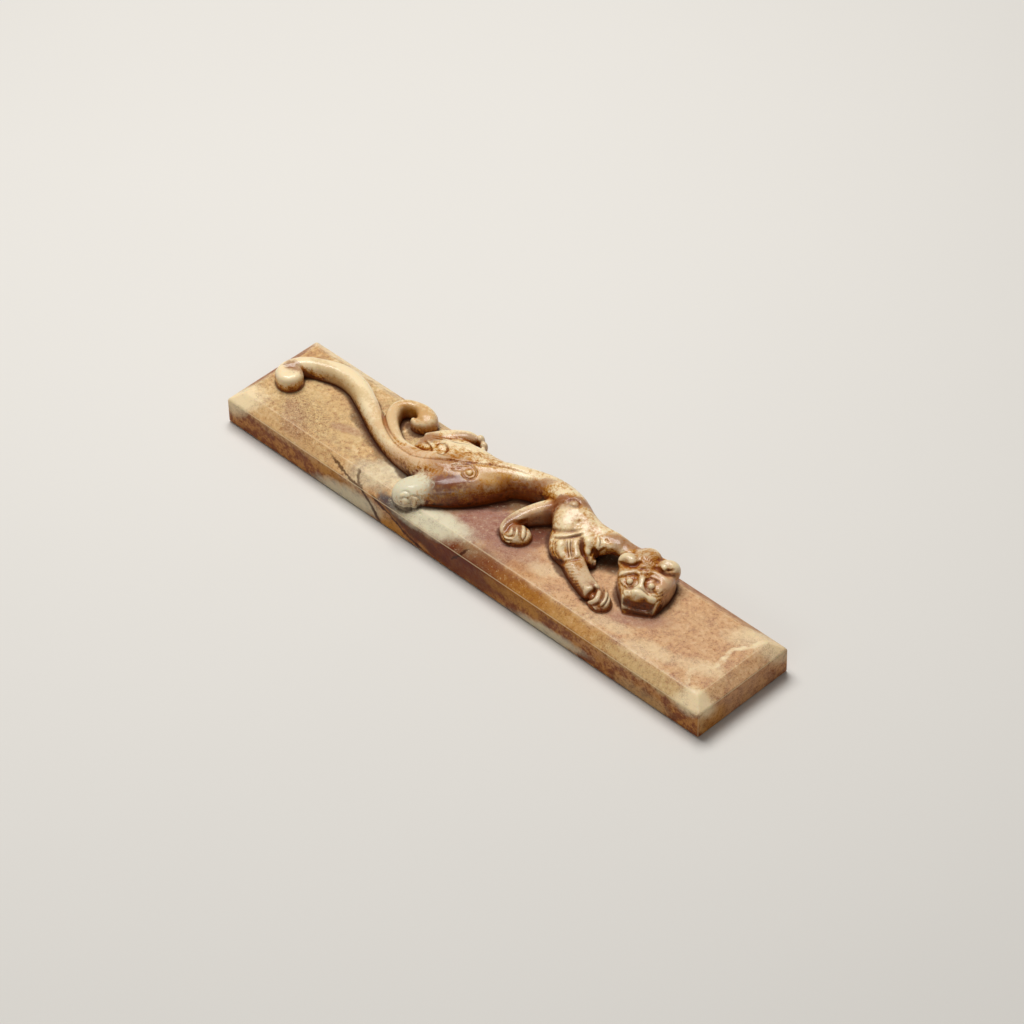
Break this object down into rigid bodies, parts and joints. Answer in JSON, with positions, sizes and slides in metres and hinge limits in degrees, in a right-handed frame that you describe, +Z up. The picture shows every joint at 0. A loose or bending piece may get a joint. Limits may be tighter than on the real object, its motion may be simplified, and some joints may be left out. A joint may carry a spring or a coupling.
{
  "type": "jade scroll weight",
  "caption": "Long jade bar with a bevelled top and a sinuous hornless dragon carved on it in high relief; it lies on an open scroll or sheet and keeps it flat.",
  "frame": {"origin": "centre of the flat underside", "axes": "+X along the bar towards the end the animal's head is at, +Y across the bar towards the side its spine arches to, +Z up"},
  "size_m": [0.22, 0.042, 0.0238],
  "materials": {
    "jade": "waxy polish on cream to celadon nephrite with russet and brown staining"
  },
  "bodies": {
    "root": {"jade_scroll_weight": "jade"}
  },
  "joints": []
}
